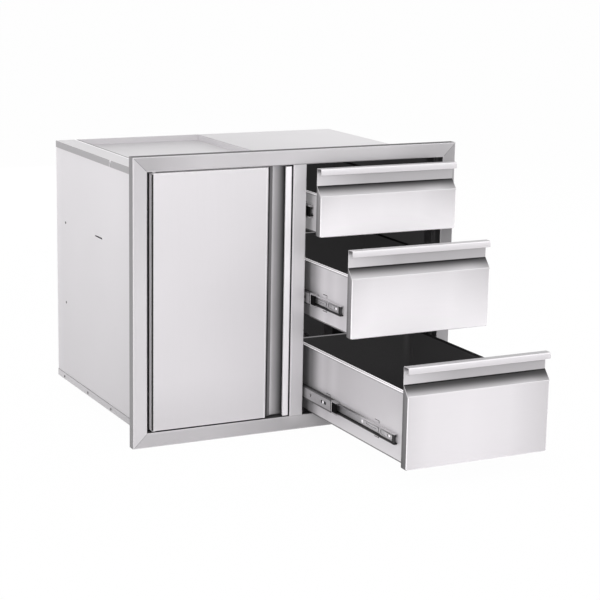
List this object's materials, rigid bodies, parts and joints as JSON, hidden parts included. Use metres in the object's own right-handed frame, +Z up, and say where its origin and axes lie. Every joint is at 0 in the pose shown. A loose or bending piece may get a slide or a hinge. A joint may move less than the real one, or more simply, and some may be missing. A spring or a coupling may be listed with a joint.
{
  "type": "outdoor kitchen door and drawer unit",
  "caption": "Built-in brushed steel outdoor kitchen unit: hinged door beside three pull-out drawers with folded hooked handles, set in a mitred trim frame on a steel box",
  "frame": {"origin": "middle of the underside of the box behind the trim", "axes": "X to the right seen from the front, Y to the back (the fronts face -Y), Z up"},
  "size_m": [0.75, 0.979, 0.604],
  "materials": {
    "steel_brushed": "brushed",
    "zinc_steel": "bright zinc",
    "black_plastic": "moulded black plastic"
  },
  "bodies": {
    "cabinet": {"trim_left": "steel_brushed", "trim_right": "steel_brushed", "trim_bottom": "steel_brushed", "trim_top": "steel_brushed", "centre_stile": "steel_brushed", "side_panel_left": "steel_brushed", "side_panel_right": "steel_brushed", "bottom_panel": "steel_brushed", "lid_drawer_side": "steel_brushed", "lid_door_side": "steel_brushed", "rear_panel": "steel_brushed", "divider_panel": "steel_brushed", "upright_left_front": "zinc_steel", "upright_right_front": "zinc_steel", "upright_left_rear": "zinc_steel", "upright_right_rear": "zinc_steel", "magnetic_catch": "black_plastic", "slide_outer_left": "zinc_steel", "slide_outer_right": "zinc_steel"},
    "door": {"door_skin": "steel_brushed", "door_plate": "steel_brushed", "door_pivot_pins": "steel_brushed", "door_strike_plate": "zinc_steel"},
    "drawer1": {"drawer1_front": "steel_brushed", "drawer1_front_plate": "steel_brushed", "drawer1_box_wrap": "steel_brushed", "drawer1_box_back": "steel_brushed", "drawer1_slide_inner_left": "zinc_steel", "drawer1_slide_inner_right": "zinc_steel"},
    "drawer2": {"drawer2_front": "steel_brushed", "drawer2_front_plate": "steel_brushed", "drawer2_box_wrap": "steel_brushed", "drawer2_box_back": "steel_brushed", "drawer2_slide_inner_left": "zinc_steel", "drawer2_slide_inner_right": "zinc_steel"},
    "drawer3": {"drawer3_front": "steel_brushed", "drawer3_front_plate": "steel_brushed", "drawer3_box_wrap": "steel_brushed", "drawer3_box_back": "steel_brushed", "drawer3_slide_inner_left": "zinc_steel", "drawer3_slide_inner_right": "zinc_steel"},
    "slides1": {"drawer1_slide_mid_left": "zinc_steel", "drawer1_slide_mid_right": "zinc_steel", "drawer1_ball_cages": "zinc_steel", "drawer1_slide_bumpers": "black_plastic"},
    "slides2": {"drawer2_slide_mid_left": "zinc_steel", "drawer2_slide_mid_right": "zinc_steel", "drawer2_ball_cages": "zinc_steel", "drawer2_slide_bumpers": "black_plastic"},
    "slides3": {"drawer3_slide_mid_left": "zinc_steel", "drawer3_slide_mid_right": "zinc_steel", "drawer3_ball_cages": "zinc_steel", "drawer3_slide_bumpers": "black_plastic"}
  },
  "joints": [
    {"name": "drawer1_slide", "type": "slide", "parent": "cabinet", "child": "drawer1", "axis": [0, -1, 0], "range_m": [-0.061, 0.389]},
    {"name": "drawer1_middle_members", "type": "slide", "parent": "cabinet", "child": "slides1", "axis": [0, -1, 0], "range_m": [-0.02775, 0.17535]},
    {"name": "drawer2_slide", "type": "slide", "parent": "cabinet", "child": "drawer2", "axis": [0, -1, 0], "range_m": [-0.204, 0.246]},
    {"name": "drawer2_middle_members", "type": "slide", "parent": "cabinet", "child": "slides2", "axis": [0, -1, 0], "range_m": [-0.0921, 0.111]},
    {"name": "drawer3_slide", "type": "slide", "parent": "cabinet", "child": "drawer3", "axis": [0, -1, 0], "range_m": [-0.438, 0.012]},
    {"name": "drawer3_middle_members", "type": "slide", "parent": "cabinet", "child": "slides3", "axis": [0, -1, 0], "range_m": [-0.1974, 0.0057]},
    {"name": "door_hinge", "type": "hinge", "parent": "cabinet", "child": "door", "pos_m": [-0.327, -0.271, 0.277], "axis": [0, 0, -1], "range_deg": [0, 110]}
  ],
  "couplings": [
    {"joint": "drawer1_middle_members", "follows": "drawer1_slide", "ratio": 0.45},
    {"joint": "drawer2_middle_members", "follows": "drawer2_slide", "ratio": 0.45},
    {"joint": "drawer3_middle_members", "follows": "drawer3_slide", "ratio": 0.45}
  ]
}
